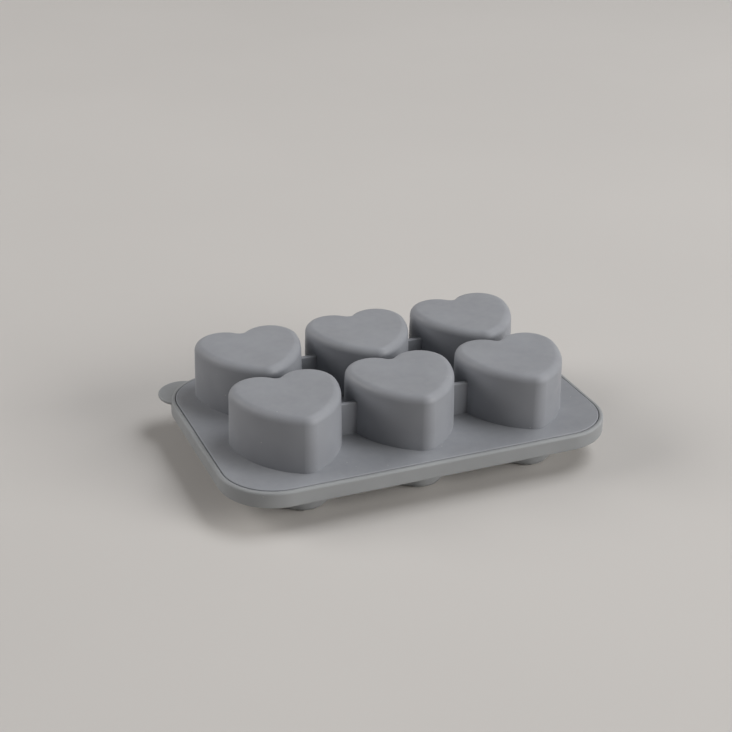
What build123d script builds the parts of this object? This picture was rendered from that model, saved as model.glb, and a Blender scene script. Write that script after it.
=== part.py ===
from build123d import *
import math
import os

# Six-heart silicone soap mould, standing upside down on the shallow wells of its lid.
# Millimetres, +Z up, +X along the long side. The origin is at the middle of the footprint, on the
# surface that the mould stands on. Two mouldings: the tray of deep cups, and the lid around its edge.

# Lid
LID_LENGTH = 200.0        # outside of the rim, along X
LID_DEPTH = 129.2         # outside of the rim, along Y
LID_CORNER = 27.6         # outside corner radius of the rim
LID_SIDE = 8.3            # height of the rim, from the lid's underside to its top edge
LID_PLATE = 2.0           # thickness of the plate
RIM_WALL = 2.2            # thickness of the rim
RIM_TOP_ROUND = 1.3       # outer top edge of the rim
RIM_FOOT_ROUND = 1.2      # outer bottom edge of the rim

# Pull tab on the rim's back left corner
TAB_RADIUS = 13.0         # round end of the tab
TAB_THICKNESS = 1.6
TAB_INSET_X = 9.4         # centre of the round end, inside the rim's left side
TAB_INSET_Y = 14.8        # centre of the round end, inside the rim's back side
TAB_DROP = 0.3            # top of the tab below the rim's top edge
TAB_EDGE_ROUND = 0.6

# Shallow wells under the lid, one below each cup
WELL_DEPTH = 12.7         # below the lid's underside
WELL_WALL = 2.0
WELL_EDGE_ROUND = 4.0     # outer edge of the well's bottom
WELL_TIP = 12.0           # radius of the well's tip, rounder than the cup's

# Tray
FIT_GAP = 0.3             # between the tray's edge and the rim
FLANGE_THICKNESS = 2.0
FLANGE_PROUD = 0.3        # top of the flange above the rim's top edge
FLANGE_EDGE_ROUND = 0.5
LIP_WALL = 2.0            # lip under the flange's edge, which stands on the lid's plate

# Cups
CUP_HEIGHT = 28.1         # above the flange
CUP_WALL = 2.0
CUP_TOP_ROUND = 4.0       # outer edge of the cup's top
DRAFT = 1.2               # degrees, on the cups' and wells' sides
COLUMNS = 3
ROWS = 2
PITCH_X = 59.1
PITCH_Y = 55.0
FRONT_MARGIN = 12.2       # from the front cups' tips to the rim's front side

# Heart outline, at the flange
HEART_LOBE_OFFSET = 12.0  # lobe centres, each side of the middle
HEART_LOBE = 15.4         # lobe radius
HEART_TIP_OFFSET = 30.4   # tip centre, in front of the lobe centres
HEART_TIP = 7.6           # tip radius
HEART_SIDE = 44.8         # radius of the bowed sides
HEART_CLEFT = 1.6         # radius of the soft cleft between the lobes

# Webs that join neighbouring cups in a row
WEB_HEIGHT = 17.0
WEB_THICKNESS = 2.5
WEB_FRONT = 9.8           # front face of the web, in front of the lobe centres
WEB_SINK = 1.0            # reach of the web's ends into the cup walls

# Levels
LID_UNDERSIDE = WELL_DEPTH
PLATE_TOP = LID_UNDERSIDE + LID_PLATE
RIM_TOP = LID_UNDERSIDE + LID_SIDE
FLANGE_TOP = RIM_TOP + FLANGE_PROUD
FLANGE_UNDERSIDE = FLANGE_TOP - FLANGE_THICKNESS
CUP_TOP = FLANGE_TOP + CUP_HEIGHT

# Lobe centres of the front row, behind the front cups' tips
FRONT_ROW_Y = -LID_DEPTH / 2 + FRONT_MARGIN + HEART_TIP_OFFSET + HEART_TIP


def slab(inset, bottom, top):
    """A block with the lid's rounded outline, set in from the rim's outside."""
    outline = RectangleRounded(LID_LENGTH - 2 * inset, LID_DEPTH - 2 * inset, LID_CORNER - inset)
    return extrude(Pos(0, 0, bottom) * outline, top - bottom)


def tip_offset(tip_radius):
    """Distance of a tip's centre in front of the lobe centres: every tip ends at the same line."""
    return HEART_TIP_OFFSET + HEART_TIP - tip_radius


def side_centre(tip_radius):
    """Centre of the bowed right-hand side, which runs into the lobe and the tip without a corner."""
    to_lobe = HEART_SIDE - HEART_LOBE
    to_tip = HEART_SIDE - tip_radius
    apart = math.hypot(HEART_LOBE_OFFSET, tip_offset(tip_radius))
    along = (to_lobe**2 - to_tip**2 + apart**2) / (2 * apart)
    across = math.sqrt(to_lobe**2 - along**2)
    step_x = -HEART_LOBE_OFFSET / apart
    step_y = -tip_offset(tip_radius) / apart
    return (
        HEART_LOBE_OFFSET + along * step_x + across * step_y,
        along * step_y - across * step_x,
    )


def bearing(start, end):
    """Direction from one point to another, in degrees."""
    return math.degrees(math.atan2(end[1] - start[1], end[0] - start[0]))


def heart(inset, tip_radius):
    """A heart-shaped face, tip towards the front, set in from the full outline."""
    lobe = (HEART_LOBE_OFFSET, 0.0)
    tip = (0.0, -tip_offset(tip_radius))
    side = side_centre(tip_radius)
    cleft = (0.0, math.sqrt((HEART_LOBE + HEART_CLEFT) ** 2 - HEART_LOBE_OFFSET**2))
    from_cleft = bearing(lobe, cleft)
    to_side = bearing(side, lobe)
    to_tip = bearing(side, tip)
    at_cleft = bearing(cleft, lobe)
    right = [
        CenterArc(tip, tip_radius - inset, -90, to_tip + 90),
        CenterArc(side, HEART_SIDE - inset, to_tip, to_side - to_tip),
        CenterArc(lobe, HEART_LOBE - inset, to_side, from_cleft - to_side),
        CenterArc(cleft, HEART_CLEFT + inset, at_cleft, -90 - at_cleft),
    ]
    left = [edge.mirror(Plane.YZ) for edge in right]
    return make_face(Curve() + right + left)


def heart_block(inset, height, edge_round, tip_radius):
    """A heart-shaped block with drafted sides that stands on XY, with a rounded top edge."""
    block = extrude(heart(inset, tip_radius), height, taper=DRAFT)
    return fillet(block.faces().sort_by(Axis.Z)[-1].edges(), edge_round)


def cup_places():
    """Lobe centres of the cups, row by row from the front."""
    return [
        Pos((column - (COLUMNS - 1) / 2) * PITCH_X, FRONT_ROW_Y + row * PITCH_Y, 0)
        for row in range(ROWS)
        for column in range(COLUMNS)
    ]


def web_places():
    """Middles of the gaps between neighbouring cups, at the cups' lobe centres."""
    return [
        Pos((column - COLUMNS / 2 + 1) * PITCH_X, FRONT_ROW_Y + row * PITCH_Y, 0)
        for row in range(ROWS)
        for column in range(COLUMNS - 1)
    ]


def half_width(forward):
    """Half the heart's width, at a distance in front of the lobe centres."""
    centre = side_centre(HEART_TIP)
    return centre[0] + math.sqrt(HEART_SIDE**2 - (forward + centre[1]) ** 2)


def web():
    """A thin upright wall whose ends run into the two cups beside it."""
    shrink = WEB_HEIGHT * math.tan(math.radians(DRAFT))
    middle = WEB_FRONT - WEB_THICKNESS / 2
    length = PITCH_X - 2 * (half_width(middle) - shrink - WEB_SINK)
    wall = Box(length, WEB_THICKNESS, WEB_HEIGHT, align=(Align.CENTER, Align.CENTER, Align.MIN))
    return Pos(0, -middle, 0) * wall


def pull_tab():
    """A thin round-ended tongue that sticks out from the rim's corner."""
    centre_x = -LID_LENGTH / 2 + TAB_INSET_X
    centre_y = LID_DEPTH / 2 - TAB_INSET_Y
    top = RIM_TOP - TAB_DROP
    disc = extrude(Pos(centre_x, centre_y, top - TAB_THICKNESS) * Circle(TAB_RADIUS), TAB_THICKNESS)
    disc = fillet(disc.edges(), TAB_EDGE_ROUND)
    return disc - slab(RIM_WALL / 2, LID_UNDERSIDE, CUP_TOP)


def lid():
    """The plate with its rim and pull tab, and a shallow heart-shaped well below each cup."""
    body = slab(0, LID_UNDERSIDE, RIM_TOP)
    body = fillet(body.faces().sort_by(Axis.Z)[-1].edges(), RIM_TOP_ROUND)
    body = fillet(body.faces().sort_by(Axis.Z)[0].edges(), RIM_FOOT_ROUND)
    body += pull_tab()
    body -= slab(RIM_WALL, PLATE_TOP, FLANGE_TOP)
    outside = heart_block(0, LID_UNDERSIDE + LID_PLATE / 2, WELL_EDGE_ROUND, WELL_TIP)
    inside_round = WELL_EDGE_ROUND - WELL_WALL
    inside = heart_block(WELL_WALL, PLATE_TOP - WELL_WALL, inside_round, WELL_TIP)
    turned_over = Rot(0, 180, 0)
    for place in cup_places():
        body += place * Pos(0, 0, LID_UNDERSIDE + LID_PLATE / 2) * turned_over * outside
    for place in cup_places():
        body -= place * Pos(0, 0, PLATE_TOP) * turned_over * inside
    return body


def tray():
    """The flange with its lip, the deep cups and the webs between them."""
    edge = RIM_WALL + FIT_GAP
    body = slab(edge, PLATE_TOP, FLANGE_TOP)
    body = fillet(body.faces().sort_by(Axis.Z)[-1].edges(), FLANGE_EDGE_ROUND)
    body -= slab(edge + LIP_WALL, PLATE_TOP, FLANGE_UNDERSIDE)
    outside = heart_block(0, CUP_HEIGHT, CUP_TOP_ROUND, HEART_TIP)
    inside_height = CUP_HEIGHT + FLANGE_THICKNESS - CUP_WALL
    inside = heart_block(CUP_WALL, inside_height, CUP_TOP_ROUND - CUP_WALL, HEART_TIP)
    for place in cup_places():
        body += place * Pos(0, 0, FLANGE_TOP) * outside
    for place in web_places():
        body += place * Pos(0, 0, FLANGE_TOP) * web()
    for place in cup_places():
        body -= place * Pos(0, 0, FLANGE_UNDERSIDE) * inside
    return body


os.makedirs("parts", exist_ok=True)
nodes = {"lid": lid(), "mould_tray": tray()}
footprint = nodes["lid"].bounding_box()
to_origin = Pos(-footprint.center().X, -footprint.center().Y, 0)
for name, piece in nodes.items():
    export_step(to_origin * piece, f"parts/{name}.step")
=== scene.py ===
"""Six-heart silicone soap mould: the tray of deep cups, turned over into its shallow-welled lid.

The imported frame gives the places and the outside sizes. The two mouldings are modelled here again as
soft silicone skins, with their finish, and set on a plain studio floor.
"""

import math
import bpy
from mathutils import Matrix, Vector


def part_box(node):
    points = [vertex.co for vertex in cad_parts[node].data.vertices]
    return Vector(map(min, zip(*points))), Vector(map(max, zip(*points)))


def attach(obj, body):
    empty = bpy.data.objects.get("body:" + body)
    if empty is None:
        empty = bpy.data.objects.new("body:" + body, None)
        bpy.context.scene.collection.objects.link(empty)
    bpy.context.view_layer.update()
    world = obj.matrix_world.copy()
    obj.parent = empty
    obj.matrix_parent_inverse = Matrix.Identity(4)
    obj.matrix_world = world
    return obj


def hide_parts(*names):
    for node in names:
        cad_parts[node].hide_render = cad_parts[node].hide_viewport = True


bl_info = {
    "name": "Six-Heart Soap Mould",
    "version": (1, 0, 0),
    "blender": (4, 5, 0),
    "location": "View3D > Sidebar > Soap Mould",
    "description": "Models the mould's tray and lid with their silicone finish, and a studio stage",
    "category": "Object",
}

from functools import partial

import bmesh
import bpy
from bpy.props import FloatProperty, FloatVectorProperty, IntProperty, PointerProperty
from bpy.types import Operator, Panel, PropertyGroup
from mathutils import Matrix, Quaternion, Vector, noise

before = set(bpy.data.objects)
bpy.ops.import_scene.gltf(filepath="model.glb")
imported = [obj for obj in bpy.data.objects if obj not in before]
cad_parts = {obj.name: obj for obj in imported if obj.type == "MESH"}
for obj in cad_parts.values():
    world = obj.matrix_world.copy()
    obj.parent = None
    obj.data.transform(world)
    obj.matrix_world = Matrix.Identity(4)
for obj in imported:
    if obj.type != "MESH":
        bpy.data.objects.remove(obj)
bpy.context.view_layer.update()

MM = 0.001
UP = Vector((0, 0, 1))
WELD = 1e-6  # points nearer than this are one point
QUARTER = math.pi / 2

ROWS = 2
COLUMNS = 3

LID_LOW, LID_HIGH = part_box("lid")
TRAY_LOW, TRAY_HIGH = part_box("mould_tray")
CENTRE = (TRAY_LOW + TRAY_HIGH) / 2
LID_LENGTH = 2 * (LID_HIGH.x - CENTRE.x)
LID_DEPTH = LID_HIGH.y - LID_LOW.y
RIM_TOP = LID_HIGH.z
PLATE_TOP = TRAY_LOW.z
CUP_TOP = TRAY_HIGH.z


class HeartSizes(PropertyGroup):
    """The outline that every cup and well shares, and the grid that they stand in."""

    lobe_offset: FloatProperty(
        name="Lobe offset",
        description="Distance of each lobe's centre from the middle of the heart",
        default=12.0 * MM,
        unit="LENGTH",
    )
    lobe_radius: FloatProperty(
        name="Lobe radius", description="Radius of each lobe", default=15.4 * MM, unit="LENGTH"
    )
    tip_offset: FloatProperty(
        name="Tip offset",
        description="Distance of the tip's centre in front of the lobes' centres",
        default=30.4 * MM,
        unit="LENGTH",
    )
    tip_radius: FloatProperty(
        name="Tip radius", description="Radius of the soft tip", default=7.6 * MM, unit="LENGTH"
    )
    well_tip: FloatProperty(
        name="Well tip", description="Radius of the wells' rounder tips", default=12.0 * MM, unit="LENGTH"
    )
    side_radius: FloatProperty(
        name="Side radius", description="Radius of the bowed sides", default=44.8 * MM, unit="LENGTH"
    )
    cleft_radius: FloatProperty(
        name="Cleft radius",
        description="Radius of the soft cleft between the lobes",
        default=1.6 * MM,
        unit="LENGTH",
    )
    pitch_x: FloatProperty(
        name="Pitch along a row",
        description="Distance between neighbouring cups in a row",
        default=59.1 * MM,
        unit="LENGTH",
    )
    pitch_y: FloatProperty(
        name="Pitch between rows",
        description="Distance between the two rows",
        default=55.0 * MM,
        unit="LENGTH",
    )
    front_margin: FloatProperty(
        name="Front margin",
        description="Distance from the front cups' tips to the rim's front side",
        default=12.2 * MM,
        unit="LENGTH",
    )
    draft: FloatProperty(
        name="Draft",
        description="Lean of the cups' and wells' sides",
        default=math.radians(1.2),
        subtype="ANGLE",
    )
    wall: FloatProperty(
        name="Wall", description="Thickness of the cups and wells", default=2.0 * MM, unit="LENGTH"
    )


class TraySizes(PropertyGroup):
    """Sizes of the tray's own moulding."""

    fit_gap: FloatProperty(
        name="Fit gap",
        description="Space between the tray's edge and the rim",
        default=0.3 * MM,
        unit="LENGTH",
    )
    flange: FloatProperty(
        name="Flange thickness",
        description="Thickness of the flat flange",
        default=2.0 * MM,
        unit="LENGTH",
    )
    proud: FloatProperty(
        name="Flange proud",
        description="Height of the flange above the rim's top edge",
        default=0.3 * MM,
        unit="LENGTH",
    )
    edge_round: FloatProperty(
        name="Edge round",
        description="Rounding of the flange's top edge",
        default=0.5 * MM,
        unit="LENGTH",
    )
    lip: FloatProperty(
        name="Lip", description="Thickness of the lip below the edge", default=2.0 * MM, unit="LENGTH"
    )
    cup_round: FloatProperty(
        name="Cup round",
        description="Rounding of the cups' top edges",
        default=4.0 * MM,
        unit="LENGTH",
    )
    web_height: FloatProperty(
        name="Web height",
        description="Height of the webs above the flange",
        default=17.0 * MM,
        unit="LENGTH",
    )
    web_thickness: FloatProperty(
        name="Web thickness",
        description="Thickness of the webs between neighbouring cups",
        default=2.5 * MM,
        unit="LENGTH",
    )
    web_front: FloatProperty(
        name="Web front",
        description="Front of the webs, in front of the lobes' centres",
        default=9.8 * MM,
        unit="LENGTH",
    )
    web_sink: FloatProperty(
        name="Web sink",
        description="Reach of a web's ends into the cup walls",
        default=1.0 * MM,
        unit="LENGTH",
    )


class LidSizes(PropertyGroup):
    """Sizes of the lid's own moulding."""

    corner: FloatProperty(
        name="Corner", description="Outside corner radius of the rim", default=27.6 * MM, unit="LENGTH"
    )
    plate: FloatProperty(
        name="Plate", description="Thickness of the plate", default=2.0 * MM, unit="LENGTH"
    )
    rim: FloatProperty(
        name="Rim", description="Thickness of the rim", default=2.2 * MM, unit="LENGTH"
    )
    rim_round: FloatProperty(
        name="Rim round",
        description="Rounding of the rim's outer top edge",
        default=1.3 * MM,
        unit="LENGTH",
    )
    mouth_round: FloatProperty(
        name="Mouth round",
        description="Rounding of the rim's inner top edge",
        default=0.4 * MM,
        unit="LENGTH",
    )
    foot_round: FloatProperty(
        name="Foot round",
        description="Rounding of the rim's bottom edge",
        default=1.2 * MM,
        unit="LENGTH",
    )
    well_round: FloatProperty(
        name="Well round",
        description="Rounding of the wells' bottom edges",
        default=4.0 * MM,
        unit="LENGTH",
    )
    tab_radius: FloatProperty(
        name="Tab radius", description="Radius of the pull tab's end", default=13.0 * MM, unit="LENGTH"
    )
    tab_thickness: FloatProperty(
        name="Tab thickness", description="Thickness of the pull tab", default=1.6 * MM, unit="LENGTH"
    )
    tab_back: FloatProperty(
        name="Tab place",
        description="Centre of the pull tab's end, in front of the rim's back side",
        default=14.8 * MM,
        unit="LENGTH",
    )
    tab_drop: FloatProperty(
        name="Tab drop",
        description="Top of the pull tab below the rim's top edge",
        default=0.3 * MM,
        unit="LENGTH",
    )
    tab_round: FloatProperty(
        name="Tab round",
        description="Rounding of the pull tab's edge",
        default=0.6 * MM,
        unit="LENGTH",
    )


class SiliconeLook(PropertyGroup):
    """Colours and surface of the two mouldings. The two colours are one silicone with painted light in
    them: cool top light on the tray, floor bounce on the lid.
    """

    # Painted light: the tray and the lid are one silicone; this grey carries the cool tint that the top
    # light gives the cups' tops.
    tray_grey_with_painted_cool_light: FloatVectorProperty(
        name="Tray colour",
        description="Cool grey of the tray's silicone",
        default=(0.262, 0.270, 0.292),
        subtype="COLOR",
        min=0.0,
        max=1.0,
    )
    # Painted light: the same silicone as the tray, made lighter and plainer to stand for the warm bounce
    # from the floor on the rim's sides.
    lid_grey_with_painted_bounce: FloatVectorProperty(
        name="Lid colour",
        description="Plain grey of the lid's silicone",
        default=(0.278, 0.285, 0.291),
        subtype="COLOR",
        min=0.0,
        max=1.0,
    )
    roughness: FloatProperty(
        name="Roughness",
        description="Satin of the moulded surface",
        default=0.5,
        min=0.0,
        max=1.0,
        subtype="FACTOR",
    )
    sway: FloatProperty(
        name="Sway",
        description="How far the soft walls wander from true",
        default=0.12 * MM,
        unit="LENGTH",
    )
    dish: FloatProperty(
        name="Dish",
        description="How far the flat ends of the cups and wells sink in their middles",
        default=0.3 * MM,
        unit="LENGTH",
    )


class StageLook(PropertyGroup):
    """The floor, the lights and the camera."""

    floor_colour: FloatVectorProperty(
        name="Floor colour",
        description="Pale warm grey of the floor",
        default=(0.618, 0.588, 0.557),
        subtype="COLOR",
        min=0.0,
        max=1.0,
    )
    sky_colour: FloatVectorProperty(
        name="Room colour",
        description="Colour of the light from the whole room",
        default=(0.93, 0.96, 1.0),
        subtype="COLOR",
        min=0.0,
        max=1.0,
    )
    sky_strength: FloatProperty(
        name="Room strength", description="Strength of the room's light", default=0.05, min=0.0
    )
    lamp_width: FloatProperty(
        name="Lamp width", description="Width of each soft box", default=2.6, unit="LENGTH"
    )
    lamp_height: FloatProperty(
        name="Lamp height", description="Height of each soft box", default=1.5, unit="LENGTH"
    )
    lamp_distance: FloatProperty(
        name="Lamp distance",
        description="From each soft box to the object",
        default=3.2,
        unit="LENGTH",
    )
    side_colour: FloatVectorProperty(
        name="Side colour",
        description="Colour of the low soft box",
        default=(1.0, 0.995, 0.98),
        subtype="COLOR",
        min=0.0,
        max=1.0,
    )
    side_power: FloatProperty(
        name="Side power", description="Power of the low soft box", default=74.0, unit="POWER"
    )
    side_azimuth: FloatProperty(
        name="Side azimuth",
        description="Direction of the low soft box, in front on the right",
        default=math.radians(45),
        subtype="ANGLE",
    )
    side_elevation: FloatProperty(
        name="Side elevation",
        description="Height of the low soft box above the horizon",
        default=math.radians(21),
        subtype="ANGLE",
    )
    top_colour: FloatVectorProperty(
        name="Top colour",
        description="Colour of the high soft box",
        default=(0.95, 0.97, 1.0),
        subtype="COLOR",
        min=0.0,
        max=1.0,
    )
    top_power: FloatProperty(
        name="Top power", description="Power of the high soft box", default=47.0, unit="POWER"
    )
    top_azimuth: FloatProperty(
        name="Top azimuth",
        description="Direction of the high soft box, on the right",
        default=math.radians(92),
        subtype="ANGLE",
    )
    top_elevation: FloatProperty(
        name="Top elevation",
        description="Height of the high soft box above the horizon",
        default=math.radians(60),
        subtype="ANGLE",
    )
    back_colour: FloatVectorProperty(
        name="Back colour",
        description="Colour of the back soft box",
        default=(1.0, 0.99, 0.98),
        subtype="COLOR",
        min=0.0,
        max=1.0,
    )
    back_power: FloatProperty(
        name="Back power", description="Power of the back soft box", default=48.0, unit="POWER"
    )
    back_azimuth: FloatProperty(
        name="Back azimuth",
        description="Direction of the back soft box, behind on the left",
        default=math.radians(-120),
        subtype="ANGLE",
    )
    back_elevation: FloatProperty(
        name="Back elevation",
        description="Height of the back soft box above the horizon",
        default=math.radians(30),
        subtype="ANGLE",
    )
    azimuth: FloatProperty(
        name="Azimuth",
        description="Direction of the camera round the object",
        default=math.radians(-22.68),
        subtype="ANGLE",
    )
    elevation: FloatProperty(
        name="Elevation",
        description="Height of the camera above the horizon",
        default=math.radians(25.98),
        subtype="ANGLE",
    )
    roll: FloatProperty(
        name="Roll", description="Tilt of the camera", default=math.radians(0.67), subtype="ANGLE"
    )
    distance: FloatProperty(
        name="Distance",
        description="From the camera to the point that it looks at",
        default=773.1 * MM,
        unit="LENGTH",
    )
    aim_right: FloatProperty(
        name="Aim right",
        description="Where the camera looks, to the right of the flange's middle",
        default=-9.85 * MM,
        unit="LENGTH",
    )
    aim_up: FloatProperty(
        name="Aim up",
        description="Where the camera looks, above the flange's middle",
        default=18.65 * MM,
        unit="LENGTH",
    )
    lens: FloatProperty(name="Lens", description="Focal length in millimetres", default=75.55)


SETTINGS = {
    "mould_heart": HeartSizes,
    "mould_tray": TraySizes,
    "mould_lid": LidSizes,
    "mould_silicone": SiliconeLook,
    "mould_stage": StageLook,
}

# --- outlines -------------------------------------------------------------------------------------

# Steps round each kind of arc, along a straight, and up a cup's side and its rounded edge
LOBE_STEPS = 26
SIDE_STEPS = 12
TIP_STEPS = 7
CLEFT_STEPS = 5
CORNER_STEPS = 18
STRAIGHT_STEPS = 12
SIDE_COURSES = 6
CROWN_STEPS = 8


def bearing(start, end):
    """Direction from one point to another on the plan, in radians."""
    return math.atan2(end[1] - start[1], end[0] - start[0])


def tip_place(heart, tip_radius):
    """Distance of a tip's centre in front of the lobes' centres: every tip ends at the same line."""
    return heart.tip_offset + heart.tip_radius - tip_radius


def side_centre(heart, tip_radius):
    """Centre of the bowed right-hand side, which runs into the lobe and the tip without a corner."""
    forward = tip_place(heart, tip_radius)
    to_lobe = heart.side_radius - heart.lobe_radius
    to_tip = heart.side_radius - tip_radius
    apart = math.hypot(heart.lobe_offset, forward)
    along = (to_lobe**2 - to_tip**2 + apart**2) / (2 * apart)
    across = math.sqrt(to_lobe**2 - along**2)
    step_x = -heart.lobe_offset / apart
    step_y = -forward / apart
    return (
        heart.lobe_offset + along * step_x + across * step_y,
        along * step_y - across * step_x,
    )


def heart_arcs(heart, tip_radius, inset):
    """The heart's outline as arcs, anticlockwise from the tip, set in from the full outline."""
    lobe = (heart.lobe_offset, 0.0)
    tip = (0.0, -tip_place(heart, tip_radius))
    side = side_centre(heart, tip_radius)
    reach = heart.lobe_radius + heart.cleft_radius
    cleft = (0.0, math.sqrt(reach**2 - heart.lobe_offset**2))
    to_tip = bearing(side, tip)
    to_side = bearing(side, lobe)
    from_cleft = bearing(lobe, cleft)
    at_cleft = bearing(cleft, lobe)
    right = [
        (tip, tip_radius - inset, -QUARTER, to_tip + QUARTER, TIP_STEPS),
        (side, heart.side_radius - inset, to_tip, to_side - to_tip, SIDE_STEPS),
        (lobe, heart.lobe_radius - inset, to_side, from_cleft - to_side, LOBE_STEPS),
        (cleft, heart.cleft_radius + inset, at_cleft, -QUARTER - at_cleft, CLEFT_STEPS),
    ]
    left = [
        ((-centre[0], centre[1]), radius, math.pi - start - sweep, sweep, steps)
        for centre, radius, start, sweep, steps in reversed(right)
    ]
    return right + left


def slab_arcs(lid, inset):
    """The corners of the lid's rounded outline, set in from the rim's outside."""
    far_x = LID_LENGTH / 2 - lid.corner
    far_y = LID_DEPTH / 2 - lid.corner
    corners = [(far_x, -far_y), (far_x, far_y), (-far_x, far_y), (-far_x, -far_y)]
    return [
        (corner, lid.corner - inset, (place - 1) * QUARTER, QUARTER, CORNER_STEPS)
        for place, corner in enumerate(corners)
    ]


# --- skins ----------------------------------------------------------------------------------------

EDGE_STEPS = 4             # round each small edge
RIM_STEPS = 6              # round the rim's larger edges
CUP_GRID = 5 * MM          # cells of the cups' and wells' flat ends
FLAT_GRID = 9 * MM         # cells of the flange and the plate
DISH_PLACE = 0.25          # deepest point of a dished end, as a share of the way to the tip
DISH_REACH = 1.3           # reach of the dish, in lobe radii
SWAY_LENGTH = 55 * MM      # about the distance from one bend of a wandering wall to the next
SWAY_SEED = 7              # any fixed number but 0, which would take a new seed from the clock
NOISE_GAIN = 2             # the noise mostly stays within a half, and is brought up to 1
SWAY_FADE = 8 * MM         # the walls go from true to their full sway over this
FITTED_EDGE = 4 * MM       # width of the outer edge that keeps its true size
WEB_ROUND = 0.5 * MM       # top edges of the webs
WEB_STEPS = 3
TAB_SIDES = 72             # sides of the pull tab's disc
CREASE = math.radians(50)  # faces that meet at more than this are creased
TIGHT = math.radians(16)   # edges that turn by this or more count as tight
FLAT_WEIGHT = 60           # how strongly large faces pull the shading flat


def round_run(bm, vert, middle, sweep, steps):
    """Spins a point round an arc. Returns the arc's last point."""
    spun = bmesh.ops.spin(bm, geom=[vert], cent=middle, axis=UP, angle=sweep, steps=steps)
    return spun["geom_last"][0]


def straight_run(bm, vert, end, steps, share=1.0):
    """Draws a point out along a straight, or a share of it. Returns the straight's last point."""
    stride = (end - vert.co) * share / steps
    spun = bmesh.ops.spin(
        bm, geom=[vert], cent=vert.co, axis=UP, dvec=stride, angle=0.0, steps=steps
    )
    return spun["geom_last"][0]


def ring(bm, arcs, height):
    """A closed loop of edges at one height: a point drawn round the arcs and straights to its start."""
    first = last = None
    for centre, radius, start, sweep, steps in arcs:
        middle = Vector((centre[0], centre[1], height))
        seat = middle + radius * Vector((math.cos(start), math.sin(start), 0))
        end = middle + radius * Vector((math.cos(start + sweep), math.sin(start + sweep), 0))
        if first is None:
            first = last = bm.verts.new(seat)
        if (last.co - seat).length > WELD:
            last = straight_run(bm, last, seat, STRAIGHT_STEPS)
        if (end - first.co).length < WELD:
            sweep *= (steps - 1) / steps
            steps -= 1
        last = round_run(bm, last, middle, sweep, steps)
    stride = radius * abs(sweep) / steps
    if (first.co - last.co).length > 2 * stride:
        most = STRAIGHT_STEPS - 1
        last = straight_run(bm, last, first.co, most, most / STRAIGHT_STEPS)
    bm.edges.new((last, first))
    loop = [first.link_edges[0]]
    vert = loop[0].other_vert(first)
    while vert != first:
        loop.append(next(edge for edge in vert.link_edges if edge != loop[-1]))
        vert = loop[-1].other_vert(vert)
    return loop


def skin(bm, outline, levels):
    """Bridges an outline's loop at each inset and height to the next one."""
    mesh = bpy.data.meshes.new("band")
    for lower, upper in zip(levels, levels[1:]):
        band = bmesh.new()
        loops = [ring(band, outline(inset), height) for inset, height in (lower, upper)]
        bmesh.ops.bridge_loops(band, edges=loops[0] + loops[1])
        band.to_mesh(mesh)
        band.free()
        bm.from_mesh(mesh)
    bpy.data.meshes.remove(mesh)
    bmesh.ops.remove_doubles(bm, verts=bm.verts, dist=WELD)


def each_once(items):
    """The items without repeats, kept in order so that every run makes the same mesh."""
    return list(dict.fromkeys(items))


def flat_fill(bm, height, step):
    """A flat face between the open loops at one height, cut into a grid that can sway."""
    edges = [
        edge
        for edge in bm.edges
        if len(edge.link_faces) < 2 and all(abs(end.co.z - height) < WELD for end in edge.verts)
    ]
    geom = bmesh.ops.triangle_fill(bm, edges=edges, use_beauty=True, normal=UP)["geom"]
    for face in [item for item in geom if isinstance(item, bmesh.types.BMFace)]:
        geom += [*face.edges, *face.verts]
    geom = each_once(geom)
    corners = [item.co.copy() for item in geom if isinstance(item, bmesh.types.BMVert)]
    for axis in (0, 1):
        low = min(corner[axis] for corner in corners)
        high = max(corner[axis] for corner in corners)
        cuts = max(1, round((high - low) / step))
        across = Vector((1 - axis, axis, 0))
        for cut in range(1, cuts):
            at = across * (low + (high - low) * cut / cuts)
            cutting = bmesh.ops.bisect_plane(
                bm, geom=geom, dist=WELD, plane_co=at, plane_no=across
            )
            geom = each_once(cutting["geom"])


def turn(centre_inset, centre_height, radius, start, end, steps):
    """Insets and heights round a fillet, from one angle to another above the outward direction."""
    return [
        (
            centre_inset - radius * math.cos(start + (end - start) * step / steps),
            centre_height + radius * math.sin(start + (end - start) * step / steps),
        )
        for step in range(steps + 1)
    ]


def cup_levels(inset, depth, draft, crown):
    """Insets and heights up a cup's skin: its foot, its side and its rounded edge."""
    lean = math.tan(draft)
    high = depth - crown
    levels = [
        (inset + high * lean * course / SIDE_COURSES, high * course / SIDE_COURSES)
        for course in range(SIDE_COURSES)
    ]
    return levels + turn(inset + high * lean + crown, high, crown, 0, QUARTER, CROWN_STEPS)


def add_cups(bm, heart, tip_radius, base, levels, way, dish):
    """Adds the same heart-shaped skin at every place, open at its base and dished at its far end.

    The skin rises from its base where way is 1, and hangs below it where way is -1.
    """
    cup = bmesh.new()
    end = base + way * levels[-1][1]
    heights = [(inset, base + way * height) for inset, height in levels]
    skin(cup, partial(heart_arcs, heart, tip_radius), heights)
    flat_fill(cup, end, CUP_GRID)
    middle = Vector((0, -heart.tip_offset * DISH_PLACE, end))
    reach = DISH_REACH * heart.lobe_radius
    for vert in cup.verts:
        if abs(vert.co.z - end) < WELD:
            near = max(0, 1 - (vert.co - middle).length / reach)
            vert.co.z -= way * dish * smooth_step(near)
    mesh = bpy.data.meshes.new("cup")
    cup.to_mesh(mesh)
    cup.free()
    for place in cup_places(heart):
        mesh.transform(Matrix.Translation(place))
        bm.from_mesh(mesh)
        mesh.transform(Matrix.Translation(-place))
    bpy.data.meshes.remove(mesh)


def smooth_step(share):
    """Eases a share of 0 to 1 in and out, without a corner at either end."""
    return share * share * (3 - 2 * share)


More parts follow.
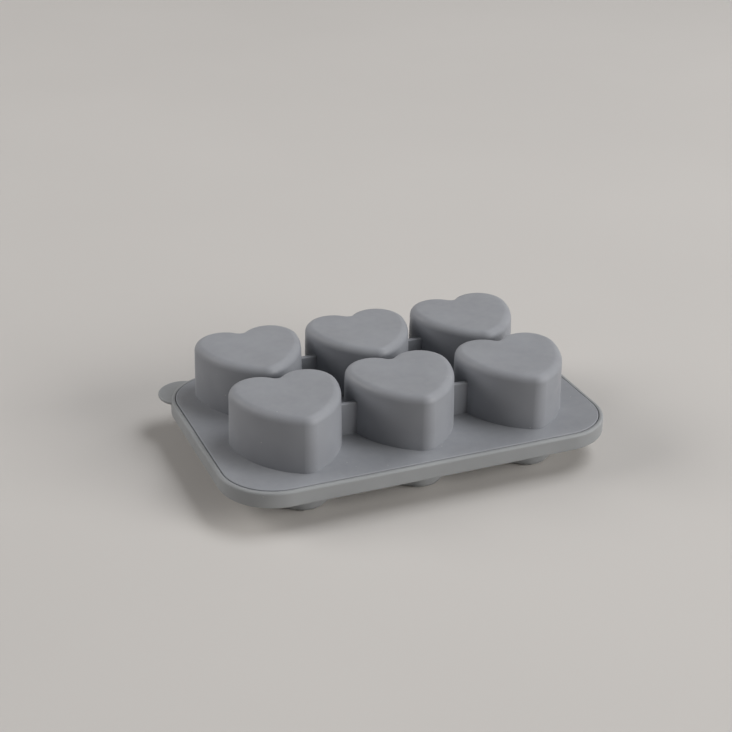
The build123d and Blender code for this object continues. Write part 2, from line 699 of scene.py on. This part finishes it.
def cup_places(heart):
    """Lobe centres of the cups, row by row from the front."""
    front = -LID_DEPTH / 2 + heart.front_margin + heart.tip_offset + heart.tip_radius
    return [
        Vector(((column - (COLUMNS - 1) / 2) * heart.pitch_x, front + row * heart.pitch_y, 0))
        for row in range(ROWS)
        for column in range(COLUMNS)
    ]


def sway(bm, amount):
    """Lets the soft skin wander a little, away from its fitted edges and its lowest and highest ends."""
    noise.seed_set(SWAY_SEED)
    for vert in bm.verts:
        drift = noise.noise_vector(vert.co / SWAY_LENGTH)
        depth = min(LID_LENGTH / 2 - abs(vert.co.x), LID_DEPTH / 2 - abs(vert.co.y))
        free = min(1, max(0, (depth - FITTED_EDGE) / SWAY_FADE))
        ends = min(1, (vert.co.z - LID_LOW.z) / SWAY_FADE, (CUP_TOP - vert.co.z) / SWAY_FADE)
        vert.co += NOISE_GAIN * amount * free * Vector((drift.x, drift.y, drift.z * ends))


def web_block(bm, heart, tray, place):
    """A thin upright wall whose ends run into the two cups beside it."""
    middle = tray.web_front - tray.web_thickness / 2
    side = side_centre(heart, heart.tip_radius)
    half = side[0] + math.sqrt(heart.side_radius**2 - (middle + side[1]) ** 2)
    shrink = tray.web_height * math.tan(heart.draft)
    length = heart.pitch_x - 2 * (half - shrink - tray.web_sink)
    foot = RIM_TOP + tray.proud - tray.flange / 2
    height = tray.web_height + tray.flange / 2
    where = place + Vector((0, -middle, foot + height / 2))
    made = bmesh.ops.create_cube(bm, size=1.0)
    bmesh.ops.scale(bm, verts=made["verts"], vec=(length, tray.web_thickness, height))
    bmesh.ops.translate(bm, verts=made["verts"], vec=where)
    top = [
        edge
        for vert in made["verts"]
        for edge in vert.link_edges
        if all(end.co.z > foot + height / 2 for end in edge.verts)
        and abs(edge.verts[0].co.x - edge.verts[1].co.x) > WELD
    ]
    round_edges(bm, each_once(top), WEB_ROUND, WEB_STEPS)


def round_edges(bm, edges, radius, steps):
    """Rounds some edges."""
    bmesh.ops.bevel(
        bm,
        geom=edges,
        offset=radius,
        offset_type="OFFSET",
        segments=steps,
        profile=0.5,
        affect="EDGES",
        material=-1,
    )


# --- making objects -------------------------------------------------------------------------------


def mesh_object(bm, name):
    """Closes a bmesh's seams, turns its faces outwards and puts it in the scene, on the tray's middle."""
    bmesh.ops.remove_doubles(bm, verts=bm.verts, dist=WELD)
    bmesh.ops.recalc_face_normals(bm, faces=bm.faces)
    bmesh.ops.translate(bm, verts=bm.verts, vec=(CENTRE.x, CENTRE.y, 0))
    mesh = bpy.data.meshes.new(name)
    bm.to_mesh(mesh)
    bm.free()
    piece = bpy.data.objects.new(name, mesh)
    bpy.context.scene.collection.objects.link(piece)
    return piece


def combine(piece, other, operation):
    """Joins a closed shape to a piece as one moulding, or cuts it away, and removes the shape."""
    modifier = piece.modifiers.new("Combine", "BOOLEAN")
    modifier.operation = operation
    modifier.solver = "EXACT"
    modifier.object = other
    bpy.context.view_layer.update()
    depsgraph = bpy.context.evaluated_depsgraph_get()
    combined = bpy.data.meshes.new_from_object(piece.evaluated_get(depsgraph))
    piece.modifiers.clear()
    piece.data = combined
    bpy.data.objects.remove(other)


def mark_edges(mesh):
    """Writes where the surface turns, from 0 on flats to 1 on tight edges, for the pale rub and painted
    highlight on the edges.
    """
    bm = bmesh.new()
    bm.from_mesh(mesh)
    turned = bm.verts.layers.float.new("edge_turn")
    for vert in bm.verts:
        angles = [edge.calc_face_angle_signed(0.0) for edge in vert.link_edges]
        vert[turned] = min(1.0, max(0.0, max(angles, default=0.0) / TIGHT))
    bm.to_mesh(mesh)
    bm.free()


def finish_piece(piece, material, body, node):
    """Smooths a piece, gives it its silicone and puts it on its body in place of the plain node."""
    mark_edges(piece.data)
    piece.data.shade_smooth()
    piece.data.set_sharp_from_angle(angle=CREASE)
    flats = piece.modifiers.new("Flats stay flat", "WEIGHTED_NORMAL")
    flats.mode = "FACE_AREA_WITH_ANGLE"
    flats.weight = FLAT_WEIGHT
    flats.keep_sharp = True
    piece.data.materials.clear()
    piece.data.materials.append(material)
    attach(piece, body)
    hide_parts(node)


# --- materials ------------------------------------------------------------------------------------

MIX_FIRST = 6                # the Mix node's colour sockets, which share their names with others
MIX_SECOND = 7
MIX_RESULT = 2

BROAD = (0.3, 0.7)           # the part of a soft noise's range that most of it lies in
FINE_DETAIL = 3.0            # levels of detail in the finer noises
GRAIN_ROUGHNESS = 0.6
PATCHES_PER_WAVE = 2.6       # the sheen's patches are finer than the waves by this
PATCH_DETAIL = 4.0
SMUDGE_ROUGHNESS = 0.55
BREAKS_PER_SMUDGE = 9.0      # the noise that breaks up the smudges is finer by this
SMUDGED = (0.48, 0.66)       # where the broad noise starts to be a smudge, and is all smudge
UPWARD = (0.2, 1.0)          # how level a surface is where film starts to settle, and where it is full
FILM_BREAKS = (0.25, 0.75)
THINNEST_FILM = 0.5
RUB_AND_HIGHLIGHT_TURN = (0.25, 0.9)         # how much an edge turns where the pale rub and painted highlight start, and where they are full

DARK_WAVE = 0.94             # the colour at the waves' darkest and palest, as a share of its own
PALE_WAVE = 1.05
PALE_RUB_AND_HIGHLIGHT = 1.22              # the colour of a rubbed edge with its painted highlight, as a share of its own
DUST = Vector((0.62, 0.61, 0.60))
DUST_SHARE = 0.35            # how far the film's colour goes from the silicone's to the dust's
LINT = (0.62, 0.61, 0.59, 1.0)
# how strongly the pale rub and painted highlight show on the edges
RUB_AND_HIGHLIGHT_SHOWS = 0.35
LINT_SHOWS = 0.5
SHEEN_SPREAD = 0.04          # roughness that the patches add or take away
SMUDGE_DULLS = 0.18          # roughness that a full smudge adds
SILICONE_IOR = 1.41
WAVE_STRENGTH = 0.2
WAVE_DEPTH = 0.4 * MM
BEAD_STRENGTH = 0.3
BEAD_DEPTH = 0.03 * MM
TRAY_FILM = 0.25             # how strongly the settled film shows
LID_FILM = 0.2
TRAY_MARKS = (0.31, 0.12, 0.05)  # where each moulding's marks are taken from the pattern
LID_MARKS = (0.07, 0.41, 0.23)

PAPER_BLOTCHES = 3.0         # to the metre
PAPER_SPREAD = 0.015         # how far the floor's colour goes up and down, as a share of its own
PAPER_ROUGHNESS = 0.9


def new_group(name, inputs, outputs):
    """An empty shader group with named inputs, each with its default, and named outputs."""
    group = bpy.data.node_groups.new(name, "ShaderNodeTree")
    for label, kind, default in inputs:
        socket = group.interface.new_socket(label, in_out="INPUT", socket_type=f"NodeSocket{kind}")
        if default is not None:
            socket.default_value = default
    for label, kind in outputs:
        group.interface.new_socket(label, in_out="OUTPUT", socket_type=f"NodeSocket{kind}")
    entry = group.nodes.new("NodeGroupInput")
    leave = group.nodes.new("NodeGroupOutput")
    return group, entry.outputs, leave.inputs


def plug(tree, socket, value):
    """Sets a socket to a value, or links it to another node's output."""
    if isinstance(value, bpy.types.NodeSocket):
        tree.links.new(value, socket)
    elif value is not None:
        socket.default_value = value


def calculate(tree, operation, *values):
    """A Math node. Returns its output."""
    node = tree.nodes.new("ShaderNodeMath")
    node.operation = operation
    for socket, value in zip(node.inputs, values):
        plug(tree, socket, value)
    return node.outputs["Value"]


def remap(tree, value, low, high, new_low=0.0, new_high=1.0):
    """Stretches a range of values to another one, smoothly and with its ends held."""
    node = tree.nodes.new("ShaderNodeMapRange")
    node.interpolation_type = "SMOOTHSTEP"
    settings = (value, low, high, new_low, new_high)
    for label, setting in zip(("Value", "From Min", "From Max", "To Min", "To Max"), settings):
        plug(tree, node.inputs[label], setting)
    return node.outputs["Result"]


def mix_colour(tree, amount, first, second):
    """A colour between two others."""
    node = tree.nodes.new("ShaderNodeMix")
    node.data_type = "RGBA"
    plug(tree, node.inputs["Factor"], amount)
    plug(tree, node.inputs[MIX_FIRST], first)
    plug(tree, node.inputs[MIX_SECOND], second)
    return node.outputs[MIX_RESULT]


def clouds(tree, place, scale, detail=2.0, roughness=0.5):
    """Soft noise on a place, at a number of blotches to the metre."""
    node = tree.nodes.new("ShaderNodeTexNoise")
    plug(tree, node.inputs["Vector"], place)
    plug(tree, node.inputs["Scale"], scale)
    plug(tree, node.inputs["Detail"], detail)
    plug(tree, node.inputs["Roughness"], roughness)
    return node.outputs["Fac"]


def bump(tree, height, strength, depth, normal=None):
    """A Bump node, on top of another one's normal where that is given. Returns its output."""
    node = tree.nodes.new("ShaderNodeBump")
    settings = (strength, depth, height, normal)
    for label, setting in zip(("Strength", "Distance", "Height", "Normal"), settings):
        plug(tree, node.inputs[label], setting)
    return node.outputs["Normal"]


def moulded_grain():
    """The fine bead-blasted texture that the steel mould leaves, and the slow waves of soft walls."""
    group, given, result = new_group(
        "Moulded grain",
        [("Place", "Vector", None), ("Grain", "Float", 2400.0), ("Waves", "Float", 45.0)],
        [("Grain", "Float"), ("Waves", "Float"), ("Sheen patches", "Float")],
    )
    fine = clouds(group, given["Place"], given["Grain"], FINE_DETAIL, GRAIN_ROUGHNESS)
    slow = clouds(group, given["Place"], given["Waves"], detail=1.0)
    patch_scale = calculate(group, "MULTIPLY", given["Waves"], PATCHES_PER_WAVE)
    patches = clouds(group, given["Place"], patch_scale, PATCH_DETAIL)
    plug(group, result["Grain"], fine)
    plug(group, result["Waves"], slow)
    plug(group, result["Sheen patches"], remap(group, patches, *BROAD))
    return group


def handling_marks():
    """Broad dull smudges where fingers have pressed, and the faint film that clings to silicone."""
    group, given, result = new_group(
        "Handling marks",
        [("Place", "Vector", None), ("Smudges", "Float", 28.0), ("Upward", "Float", 0.0)],
        [("Smudge", "Float"), ("Film", "Float")],
    )
    broad = clouds(group, given["Place"], given["Smudges"], FINE_DETAIL, SMUDGE_ROUGHNESS)
    break_scale = calculate(group, "MULTIPLY", given["Smudges"], BREAKS_PER_SMUDGE)
    broken = clouds(group, given["Place"], break_scale, FINE_DETAIL)
    smudge = calculate(group, "MULTIPLY", remap(group, broad, *SMUDGED), broken)
    settled = remap(group, given["Upward"], *UPWARD)
    patchy = remap(group, broken, *FILM_BREAKS, THINNEST_FILM, 1.0)
    film = calculate(group, "MULTIPLY", settled, patchy)
    plug(group, result["Smudge"], smudge)
    plug(group, result["Film"], film)
    return group


def lint_specks():
    """Sparse pale specks of lint and soap dust, each in its own small cell."""
    group, given, result = new_group(
        "Lint specks",
        [
            ("Place", "Vector", None),
            ("Cells", "Float", 420.0),
            ("Radius", "Float", 0.13),
            ("Share", "Float", 0.06),
        ],
        [("Speck", "Float")],
    )
    cells = group.nodes.new("ShaderNodeTexVoronoi")
    plug(group, cells.inputs["Vector"], given["Place"])
    plug(group, cells.inputs["Scale"], given["Cells"])
    apart = group.nodes.new("ShaderNodeSeparateColor")
    plug(group, apart.inputs["Color"], cells.outputs["Color"])
    size = calculate(group, "MULTIPLY", given["Radius"], apart.outputs["Green"])
    inside = calculate(group, "LESS_THAN", cells.outputs["Distance"], size)
    chosen = calculate(group, "LESS_THAN", apart.outputs["Red"], given["Share"])
    plug(group, result["Speck"], calculate(group, "MULTIPLY", inside, chosen))
    return group


def edge_rub_and_highlight():
    """Where edges have been handled and gone slightly pale, with a painted highlight along the rounded
    edges, broken up by noise.
    """
    group, given, result = new_group(
        "Edge rub",
        [("Place", "Vector", None), ("Turn", "Float", 0.0), ("Breaks", "Float", 260.0)],
        [("Rub", "Float")],
    )
    breaks = clouds(group, given["Place"], given["Breaks"], FINE_DETAIL)
    rubbed_and_highlit = calculate(group, "MULTIPLY", remap(group, given["Turn"], *RUB_AND_HIGHLIGHT_TURN), breaks)
    plug(group, result["Rub"], rubbed_and_highlit)
    return group


def place_effect(tree, name, build, settings):
    """Puts a shared effect, built when it is first needed, in a material. Returns its outputs."""
    node = tree.nodes.new("ShaderNodeGroup")
    node.node_tree = bpy.data.node_groups.get(name) or build()
    for label, value in settings.items():
        plug(tree, node.inputs[label], value)
    return node.outputs


def silicone(name, colour, roughness, offset, film):
    """Satin moulded silicone in one colour. The offset gives each moulding its own marks."""
    material = bpy.data.materials.new(name)
    material.use_nodes = True
    tree = material.node_tree
    shader = tree.nodes["Principled BSDF"]
    texture = tree.nodes.new("ShaderNodeTexCoord")
    mapping = tree.nodes.new("ShaderNodeMapping")
    mapping.inputs["Location"].default_value = offset
    plug(tree, mapping.inputs["Vector"], texture.outputs["Object"])
    place = mapping.outputs["Vector"]
    geometry = tree.nodes.new("ShaderNodeNewGeometry")
    normal = tree.nodes.new("ShaderNodeSeparateXYZ")
    plug(tree, normal.inputs["Vector"], geometry.outputs["Normal"])
    turned = tree.nodes.new("ShaderNodeAttribute")
    turned.attribute_name = "edge_turn"

    grain = place_effect(tree, "Moulded grain", moulded_grain, {"Place": place})
    marks = place_effect(
        tree, "Handling marks", handling_marks, {"Place": place, "Upward": normal.outputs["Z"]}
    )
    specks = place_effect(tree, "Lint specks", lint_specks, {"Place": place})
    # Pale convex edges: a little handling wear and a painted highlight along the rounded edges.
    rub_and_highlight = place_effect(tree, "Edge rub", edge_rub_and_highlight, {"Place": place, "Turn": turned.outputs["Fac"]})

    base = Vector(colour)
    darker = (*(base * DARK_WAVE), 1.0)
    lighter = (*(base * PALE_WAVE), 1.0)
    dusty = (*(base.lerp(DUST, DUST_SHARE)), 1.0)
    # Painted highlight and rub: the edges' colour made paler.
    rubbed_and_highlit = (*(base * PALE_RUB_AND_HIGHLIGHT), 1.0)
    surface = mix_colour(tree, remap(tree, grain["Waves"], *BROAD), darker, lighter)
    for mark, strength, marked in (
        (marks["Film"], film, dusty),
        (rub_and_highlight["Rub"], RUB_AND_HIGHLIGHT_SHOWS, rubbed_and_highlit),
        (specks["Speck"], LINT_SHOWS, LINT),
    ):
        surface = mix_colour(tree, calculate(tree, "MULTIPLY", mark, strength), surface, marked)
    plug(tree, shader.inputs["Base Color"], surface)

    glossiest = roughness - SHEEN_SPREAD
    dullest = roughness + SHEEN_SPREAD
    satin = remap(tree, grain["Sheen patches"], 0.0, 1.0, glossiest, dullest)
    dulled = calculate(tree, "MULTIPLY", marks["Smudge"], SMUDGE_DULLS)
    plug(tree, shader.inputs["Roughness"], calculate(tree, "ADD", satin, dulled))
    shader.inputs["IOR"].default_value = SILICONE_IOR

    waves = bump(tree, grain["Waves"], WAVE_STRENGTH, WAVE_DEPTH)
    beads = bump(tree, grain["Grain"], BEAD_STRENGTH, BEAD_DEPTH, waves)
    plug(tree, shader.inputs["Normal"], beads)
    return material


def paper(name, colour):
    """Matt pale floor with a very faint unevenness."""
    material = bpy.data.materials.new(name)
    material.use_nodes = True
    tree = material.node_tree
    shader = tree.nodes["Principled BSDF"]
    texture = tree.nodes.new("ShaderNodeTexCoord")
    uneven = clouds(tree, texture.outputs["Object"], PAPER_BLOTCHES, FINE_DETAIL)
    tone = Vector(colour)
    darker = (*(tone * (1 - PAPER_SPREAD)), 1.0)
    lighter = (*(tone * (1 + PAPER_SPREAD)), 1.0)
    shade = mix_colour(tree, remap(tree, uneven, *BROAD), darker, lighter)
    plug(tree, shader.inputs["Base Color"], shade)
    shader.inputs["Roughness"].default_value = PAPER_ROUGHNESS
    return material


# --- operators ------------------------------------------------------------------------------------

FLOOR_REACH = 5.0       # metres, from the middle to each side
FLOOR_CELLS = 8
FLOOR_GAP = 0.02 * MM   # below the wells, so that two faces never share a level
SENSOR_WIDTH = 36.0     # millimetres, as the lens is


class MOULD_OT_tray(Operator):
    """Models the tray: the flange with its lip, the six deep cups and the webs between them"""

    bl_idname = "mould.tray"
    bl_label = "Tray of Cups"

    def execute(self, context):
        scene = context.scene
        heart = scene.mould_heart
        tray = scene.mould_tray
        lid = scene.mould_lid
        look = scene.mould_silicone
        edge = lid.rim + tray.fit_gap
        top = RIM_TOP + tray.proud
        underside = top - tray.flange
        bm = bmesh.new()

        lip = edge + tray.lip
        curve = tray.edge_round
        profile = [(lip, underside), (lip, PLATE_TOP), (edge, PLATE_TOP)]
        profile += turn(edge + curve, top - curve, curve, 0, QUARTER, EDGE_STEPS)
        skin(bm, partial(slab_arcs, lid), profile)

        depth = CUP_TOP - top
        hollow = depth + tray.flange - heart.wall
        outer = cup_levels(0, depth, heart.draft, tray.cup_round)
        inner = cup_levels(heart.wall, hollow, heart.draft, tray.cup_round - heart.wall)
        add_cups(bm, heart, heart.tip_radius, top, outer, 1, look.dish)
        add_cups(bm, heart, heart.tip_radius, underside, inner, 1, look.dish)
        flat_fill(bm, top, FLAT_GRID)
        flat_fill(bm, underside, FLAT_GRID)
        sway(bm, look.sway)
        piece = mesh_object(bm, "silicone_tray")

        webs = bmesh.new()
        for place in cup_places(heart):
            if place.x < heart.pitch_x / 2:
                web_block(webs, heart, tray, place + Vector((heart.pitch_x / 2, 0, 0)))
        combine(piece, mesh_object(webs, "webs"), "UNION")

        # The tray's colour carries painted cool top light.
        grey = silicone(
            "Tray silicone", look.tray_grey_with_painted_cool_light, look.roughness, TRAY_MARKS, TRAY_FILM
        )
        finish_piece(piece, grey, "tray", "mould_tray")
        return {"FINISHED"}


class MOULD_OT_lid(Operator):
    """Models the lid: the plate with its rim and pull tab, and a shallow well below each cup"""

    bl_idname = "mould.lid"
    bl_label = "Lid with Wells"

    def execute(self, context):
        scene = context.scene
        heart = scene.mould_heart
        lid = scene.mould_lid
        look = scene.mould_silicone
        underside = PLATE_TOP - lid.plate
        bm = bmesh.new()

        foot = lid.foot_round
        crown = lid.rim_round
        mouth = lid.mouth_round
        profile = turn(foot, underside + foot, foot, -QUARTER, 0, RIM_STEPS)
        profile += turn(crown, RIM_TOP - crown, crown, 0, QUARTER, RIM_STEPS)
        profile += turn(lid.rim - mouth, RIM_TOP - mouth, mouth, QUARTER, math.pi, EDGE_STEPS)
        profile += [(lid.rim, PLATE_TOP)]
        skin(bm, partial(slab_arcs, lid), profile)

        outer = cup_levels(0, underside, heart.draft, lid.well_round)
        inner_round = lid.well_round - heart.wall
        inner = cup_levels(heart.wall, PLATE_TOP - heart.wall, heart.draft, inner_round)
        add_cups(bm, heart, heart.well_tip, underside, outer, -1, look.dish)
        add_cups(bm, heart, heart.well_tip, PLATE_TOP, inner, -1, look.dish)
        flat_fill(bm, underside, FLAT_GRID)
        flat_fill(bm, PLATE_TOP, FLAT_GRID)
        sway(bm, look.sway)
        piece = mesh_object(bm, "silicone_lid")
        combine(piece, self.pull_tab(lid), "UNION")

        # The lid's colour carries painted floor bounce, lighter than the tray's.
        grey = silicone("Lid silicone", look.lid_grey_with_painted_bounce, look.roughness, LID_MARKS, LID_FILM)
        finish_piece(piece, grey, "lid", "lid")
        return {"FINISHED"}

    def pull_tab(self, lid):
        """The thin round-ended tongue on the rim's corner, cut off inside the rim."""
        top = RIM_TOP - lid.tab_drop
        bm = bmesh.new()
        disc = bmesh.ops.create_circle(
            bm, cap_ends=True, radius=lid.tab_radius, segments=TAB_SIDES
        )
        grown = bmesh.ops.extrude_face_region(bm, geom=disc["verts"][0].link_faces[:])
        raised = [item for item in grown["geom"] if isinstance(item, bmesh.types.BMVert)]
        bmesh.ops.translate(bm, verts=raised, vec=(0, 0, lid.tab_thickness))
        rims = [edge for edge in bm.edges if abs(edge.verts[0].co.z - edge.verts[1].co.z) < WELD]
        round_edges(bm, rims, lid.tab_round, EDGE_STEPS)
        left = LID_LOW.x + lid.tab_radius - CENTRE.x
        back = LID_HIGH.y - lid.tab_back
        where = Vector((left, back, top - lid.tab_thickness))
        bmesh.ops.translate(bm, verts=bm.verts, vec=where)
        tongue = mesh_object(bm, "tongue")

        inside = lid.rim / 2
        bm = bmesh.new()
        skin(bm, partial(slab_arcs, lid), [(inside, PLATE_TOP), (inside, RIM_TOP + lid.rim)])
        bmesh.ops.holes_fill(bm, edges=[edge for edge in bm.edges if edge.is_boundary])
        combine(tongue, mesh_object(bm, "cutter"), "DIFFERENCE")
        return tongue


def heading(azimuth, elevation):
    """A direction from the object, round from the front towards the right and up from the horizon."""
    level = math.cos(elevation)
    return Vector((math.sin(azimuth) * level, -math.cos(azimuth) * level, math.sin(elevation)))


class MOULD_OT_stage(Operator):
    """Sets the floor, the room's light, the soft boxes and the camera"""

    bl_idname = "mould.stage"
    bl_label = "Studio Stage"

    def execute(self, context):
        scene = context.scene
        stage = scene.mould_stage
        self.floor(stage)
        self.room(scene, stage)
        for name in ("side", "top", "back"):
            self.soft_box(stage, name)
        self.camera(scene, stage)
        scene.view_settings.view_transform = "Standard"
        return {"FINISHED"}

    def floor(self, stage):
        """A wide plane just under the wells."""
        bm = bmesh.new()
        bmesh.ops.create_grid(bm, x_segments=FLOOR_CELLS, y_segments=FLOOR_CELLS, size=FLOOR_REACH)
        bmesh.ops.translate(bm, verts=bm.verts, vec=(0, 0, -FLOOR_GAP))
        mesh = bpy.data.meshes.new("studio_floor")
        bm.to_mesh(mesh)
        bm.free()
        mesh.materials.append(paper("Floor paper", stage.floor_colour))
        floor = bpy.data.objects.new("studio_floor", mesh)
        bpy.context.scene.collection.objects.link(floor)

    def room(self, scene, stage):
        """Even light from all round; where it is seen, it has the floor's colour."""
        world = bpy.data.worlds.new("Studio room")
        scene.world = world
        world.use_nodes = True
        tree = world.node_tree
        tree.nodes.clear()
        path = tree.nodes.new("ShaderNodeLightPath").outputs
        seen = calculate(tree, "MAXIMUM", path["Is Glossy Ray"], path["Is Transmission Ray"])
        seen = calculate(tree, "MAXIMUM", path["Is Camera Ray"], seen)
        light = tree.nodes.new("ShaderNodeBackground")
        light.inputs["Color"].default_value = (*stage.sky_colour, 1.0)
        light.inputs["Strength"].default_value = stage.sky_strength
        backdrop = tree.nodes.new("ShaderNodeBackground")
        backdrop.inputs["Color"].default_value = (*stage.floor_colour, 1.0)
        backdrop.inputs["Strength"].default_value = 1.0
        either = tree.nodes.new("ShaderNodeMixShader")
        plug(tree, either.inputs[0], seen)
        plug(tree, either.inputs[1], light.outputs["Background"])
        plug(tree, either.inputs[2], backdrop.outputs["Background"])
        result = tree.nodes.new("ShaderNodeOutputWorld")
        plug(tree, result.inputs["Surface"], either.outputs["Shader"])

    def soft_box(self, stage, name):
        """One large oval soft light, turned towards the object. It lights but isn't seen."""
        lamp = bpy.data.lights.new(f"{name}_soft_box", "AREA")
        lamp.shape = "ELLIPSE"
        lamp.size = stage.lamp_width
        lamp.size_y = stage.lamp_height
        lamp.energy = getattr(stage, f"{name}_power")
        lamp.color = getattr(stage, f"{name}_colour")
        box = bpy.data.objects.new(lamp.name, lamp)
        bpy.context.scene.collection.objects.link(box)
        towards = heading(getattr(stage, f"{name}_azimuth"), getattr(stage, f"{name}_elevation"))
        box.location = CENTRE + towards * stage.lamp_distance
        box.rotation_euler = towards.to_track_quat("Z", "Y").to_euler()
        box.visible_camera = False

    def camera(self, scene, stage):
        """The camera, at its distance from a point near the flange's middle."""
        back = heading(stage.azimuth, stage.elevation)
        turned = back.to_track_quat("Z", "Y") @ Quaternion((0, 0, 1), stage.roll)
        right = turned @ Vector((1, 0, 0))
        up = turned @ Vector((0, 1, 0))
        tray = scene.mould_tray
        middle = Vector((CENTRE.x, CENTRE.y, RIM_TOP + tray.proud))
        aim = middle + right * stage.aim_right + up * stage.aim_up
        data = bpy.data.cameras.new("Camera")
        data.lens = stage.lens
        data.sensor_width = SENSOR_WIDTH
        camera = bpy.data.objects.new("Camera", data)
        scene.collection.objects.link(camera)
        camera.location = aim + back * stage.distance
        camera.rotation_euler = turned.to_euler()
        scene.camera = camera


class MOULD_PT_panel(Panel):
    """Lists the pieces and their settings"""

    bl_idname = "MOULD_PT_panel"
    bl_label = "Soap Mould"
    bl_space_type = "VIEW_3D"
    bl_region_type = "UI"
    bl_category = "Soap Mould"

    def draw(self, context):
        layout = self.layout
        for operator in OPERATORS:
            layout.operator(operator.bl_idname)
        for name, kind in SETTINGS.items():
            box = layout.box()
            box.label(text=kind.bl_rna.name or name)
            for setting in kind.__annotations__:
                box.prop(getattr(context.scene, name), setting)


OPERATORS = (MOULD_OT_stage, MOULD_OT_lid, MOULD_OT_tray)


def register():
    """Makes the settings, the operators and the panel available."""
    for name, kind in SETTINGS.items():
        bpy.utils.register_class(kind)
        setattr(bpy.types.Scene, name, PointerProperty(type=kind))
    for operator in OPERATORS:
        bpy.utils.register_class(operator)
    bpy.utils.register_class(MOULD_PT_panel)


def unregister():
    """Takes them away again."""
    bpy.utils.unregister_class(MOULD_PT_panel)
    for operator in reversed(OPERATORS):
        bpy.utils.unregister_class(operator)
    for name, kind in reversed(SETTINGS.items()):
        delattr(bpy.types.Scene, name)
        bpy.utils.unregister_class(kind)


def main():
    """Builds the stage and both mouldings."""
    register()
    bpy.ops.mould.stage()
    bpy.ops.mould.lid()
    bpy.ops.mould.tray()


if __name__ == "__main__":
    main()
